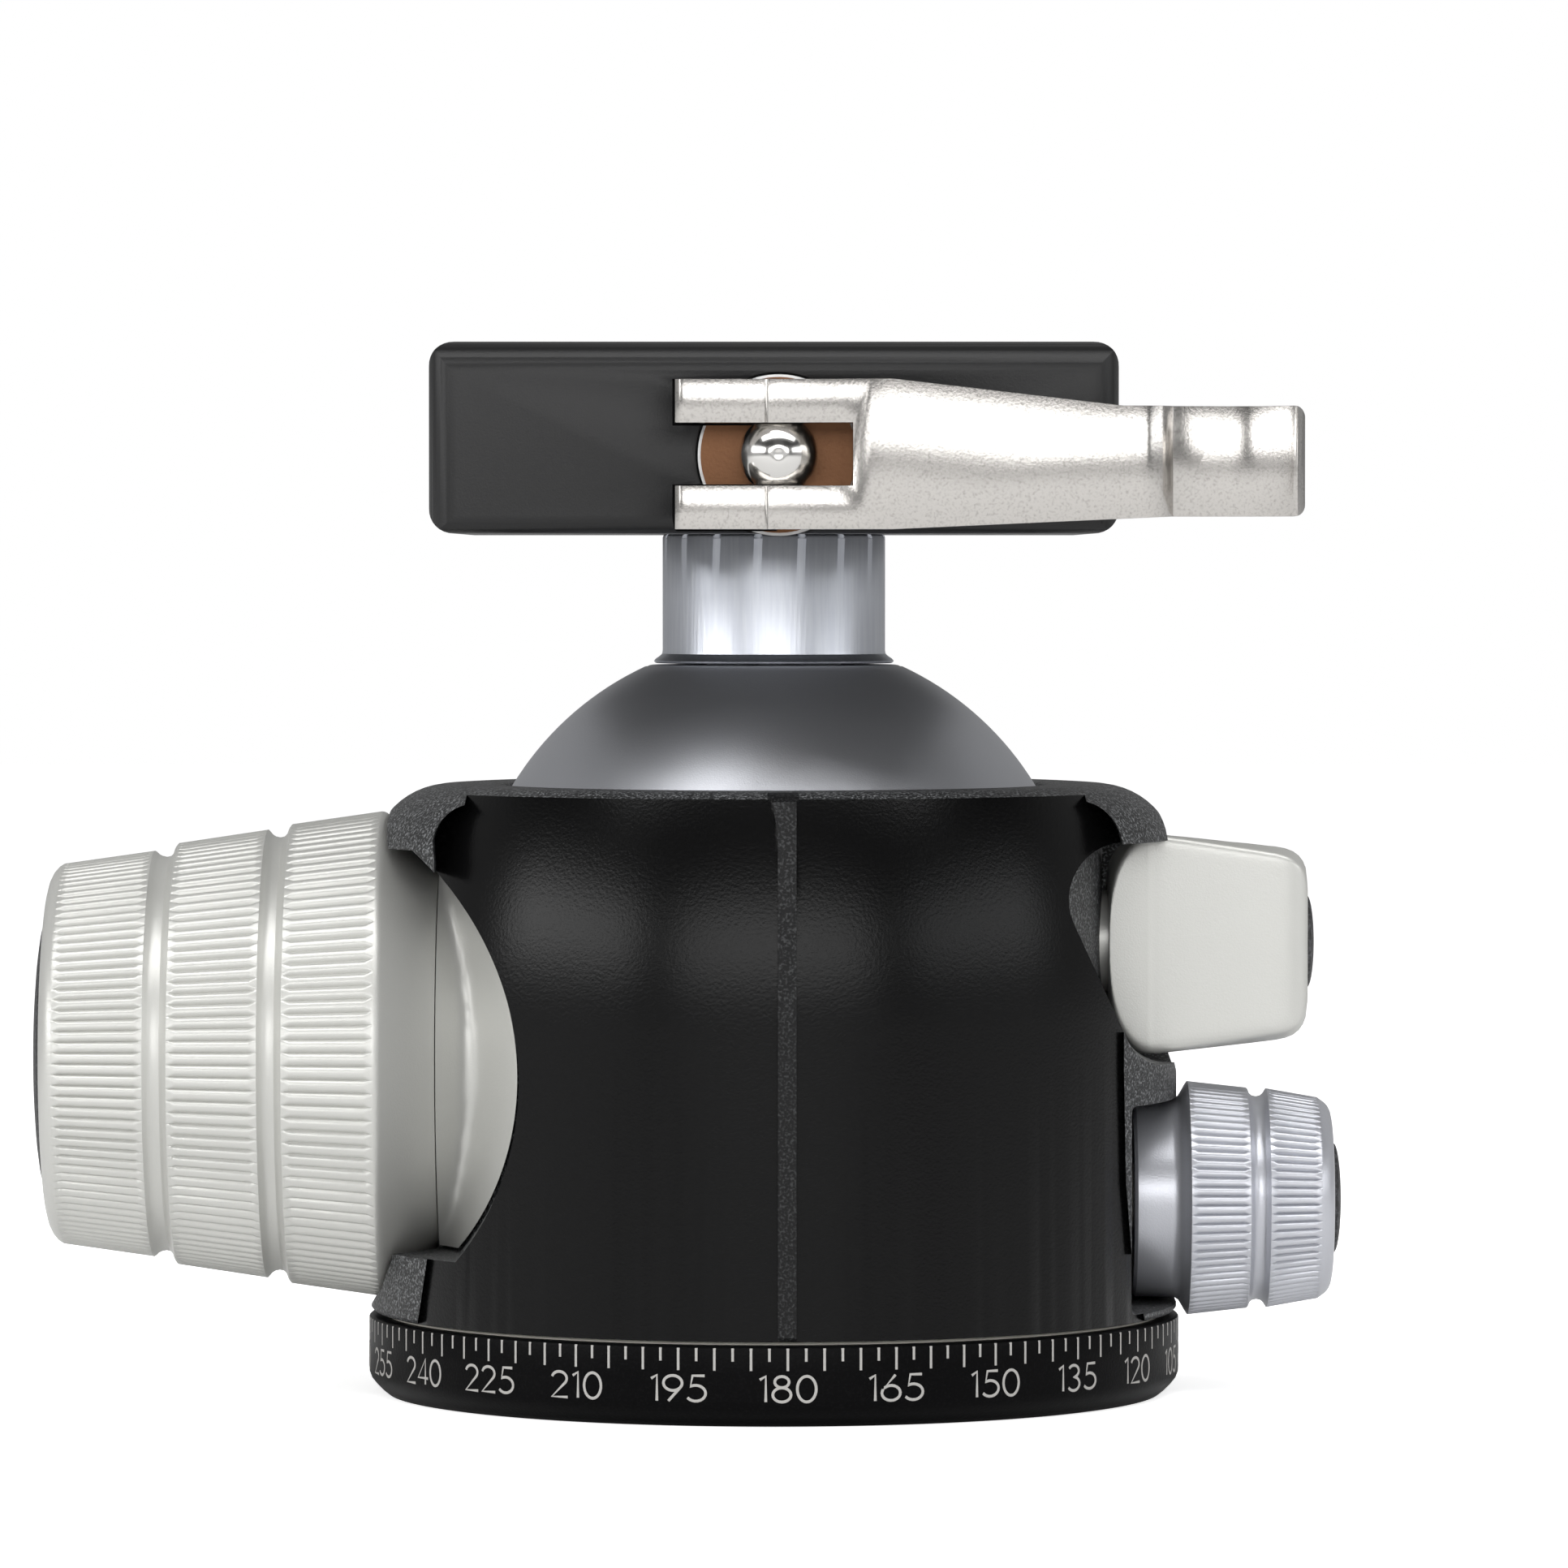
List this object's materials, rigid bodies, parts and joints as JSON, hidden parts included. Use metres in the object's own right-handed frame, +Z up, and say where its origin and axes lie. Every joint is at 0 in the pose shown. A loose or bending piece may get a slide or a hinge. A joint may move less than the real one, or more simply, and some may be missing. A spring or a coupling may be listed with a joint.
{
  "type": "tripod ball head",
  "caption": "Low tripod ball head: turning base with a degree scale, casing with a fluted locking knob, tension and panning knobs, large ball on a short neck, and a lever clamp.",
  "frame": {"origin": "centre of the mouth of the tripod thread, in the plane the head stands on", "axes": "+Z up along the neck at rest, -Y towards the reading mark and the clamp's lever, -X towards the large locking knob, +X towards the tension and panning knobs"},
  "size_m": [0.1173, 0.0748, 0.0938],
  "materials": {
    "black_aluminium": "black anodised, fine orange-peel satin",
    "silver_aluminium": "satin anodised, warm silver",
    "blue_aluminium": "satin anodised, bluish grey",
    "stainless_steel": "bead blasted",
    "steel": "turned and polished",
    "dark_steel": "blackened",
    "bronze": "turned bearing bronze",
    "black_plastic": "fine grain",
    "polymer": "hard bearing polymer"
  },
  "bodies": {
    "base": {"pan_base": "black_aluminium", "thread_bush": "steel", "base_screws": "dark_steel", "pan_bearing": "polymer", "pan_spigot": "silver_aluminium", "snap_ring": "steel"},
    "housing": {"casing": "black_aluminium", "upper_seat": "polymer", "lower_seat": "polymer", "lock_bezel": "silver_aluminium", "tension_bush": "steel"},
    "lock_grip": {"lock_knob": "silver_aluminium", "lock_cap": "black_plastic", "lock_spindle": "steel", "lock_washer": "polymer"},
    "lock_presser": {"lock_shoe": "polymer"},
    "tension_grip": {"tension_knob": "silver_aluminium", "tension_cap": "black_plastic", "tension_screw": "steel"},
    "tension_presser": {"tension_pad": "polymer"},
    "pan_grip": {"pan_knob": "blue_aluminium", "pan_cap": "black_plastic", "pan_screw": "steel"},
    "pan_presser": {"pan_shoe": "polymer"},
    "cradle": {"ball_liner": "polymer"},
    "ball_body": {"ball": "blue_aluminium"},
    "neck": {"stem": "blue_aluminium", "clamp_body": "black_aluminium", "clamp_screw": "dark_steel", "pull_rod": "steel", "guide_pins": "steel"},
    "moving_jaw": {"jaw": "black_aluminium", "bronze_washer": "bronze", "steel_washer": "steel"},
    "lever_arm": {"lever": "stainless_steel"}
  },
  "joints": [
    {"name": "pan_turn", "type": "hinge", "parent": "base", "child": "housing", "pos_m": [0, 0, 0.0074], "axis": [0, 0, 1], "continuous": true},
    {"name": "lock_turn", "type": "hinge", "parent": "housing", "child": "lock_grip", "pos_m": [-0.05, 0, 0.0304], "axis": [1, 0, 0], "range_deg": [0, 540]},
    {"name": "lock_shoe_slide", "type": "slide", "parent": "housing", "child": "lock_presser", "axis": [-1, 0, 0], "range_m": [0, 0.001]},
    {"name": "tension_turn", "type": "hinge", "parent": "housing", "child": "tension_grip", "pos_m": [0.04, 0, 0.0405], "axis": [-1, 0, 0], "range_deg": [0, 270]},
    {"name": "tension_pad_slide", "type": "slide", "parent": "housing", "child": "tension_presser", "axis": [1, 0, 0], "range_m": [0, 0.0007]},
    {"name": "pan_knob_turn", "type": "hinge", "parent": "housing", "child": "pan_grip", "pos_m": [0.04, 0, 0.0174], "axis": [-1, 0, 0], "range_deg": [0, 360]},
    {"name": "pan_shoe_slide", "type": "slide", "parent": "housing", "child": "pan_presser", "axis": [1, 0, 0], "range_m": [0, 0.0007]},
    {"name": "ball_lean", "type": "hinge", "parent": "housing", "child": "cradle", "pos_m": [0, 0, 0.0403], "axis": [0, 1, 0], "range_deg": [-22, 22]},
    {"name": "ball_tilt", "type": "hinge", "parent": "cradle", "child": "ball_body", "pos_m": [0, 0, 0.0403], "axis": [1, 0, 0], "range_deg": [-90, 30]},
    {"name": "neck_spin", "type": "hinge", "parent": "ball_body", "child": "neck", "pos_m": [0, 0, 0.0403], "axis": [0, 0, 1], "continuous": true},
    {"name": "jaw_slide", "type": "slide", "parent": "neck", "child": "moving_jaw", "axis": [0, -1, 0], "range_m": [0, 0.0015]},
    {"name": "lever_swing", "type": "hinge", "parent": "neck", "child": "lever_arm", "pos_m": [0.0004, -0.0334, 0.0839], "axis": [0, 0, -1], "range_deg": [0, 88]}
  ],
  "couplings": [
    {"joint": "lock_shoe_slide", "follows": "lock_turn", "m_per_rad": 0.0001061},
    {"joint": "tension_pad_slide", "follows": "tension_turn", "m_per_rad": 0.00014854},
    {"joint": "pan_shoe_slide", "follows": "pan_knob_turn", "m_per_rad": 0.00011141},
    {"joint": "jaw_slide", "follows": "lever_swing", "m_per_rad": 0.00097663}
  ]
}
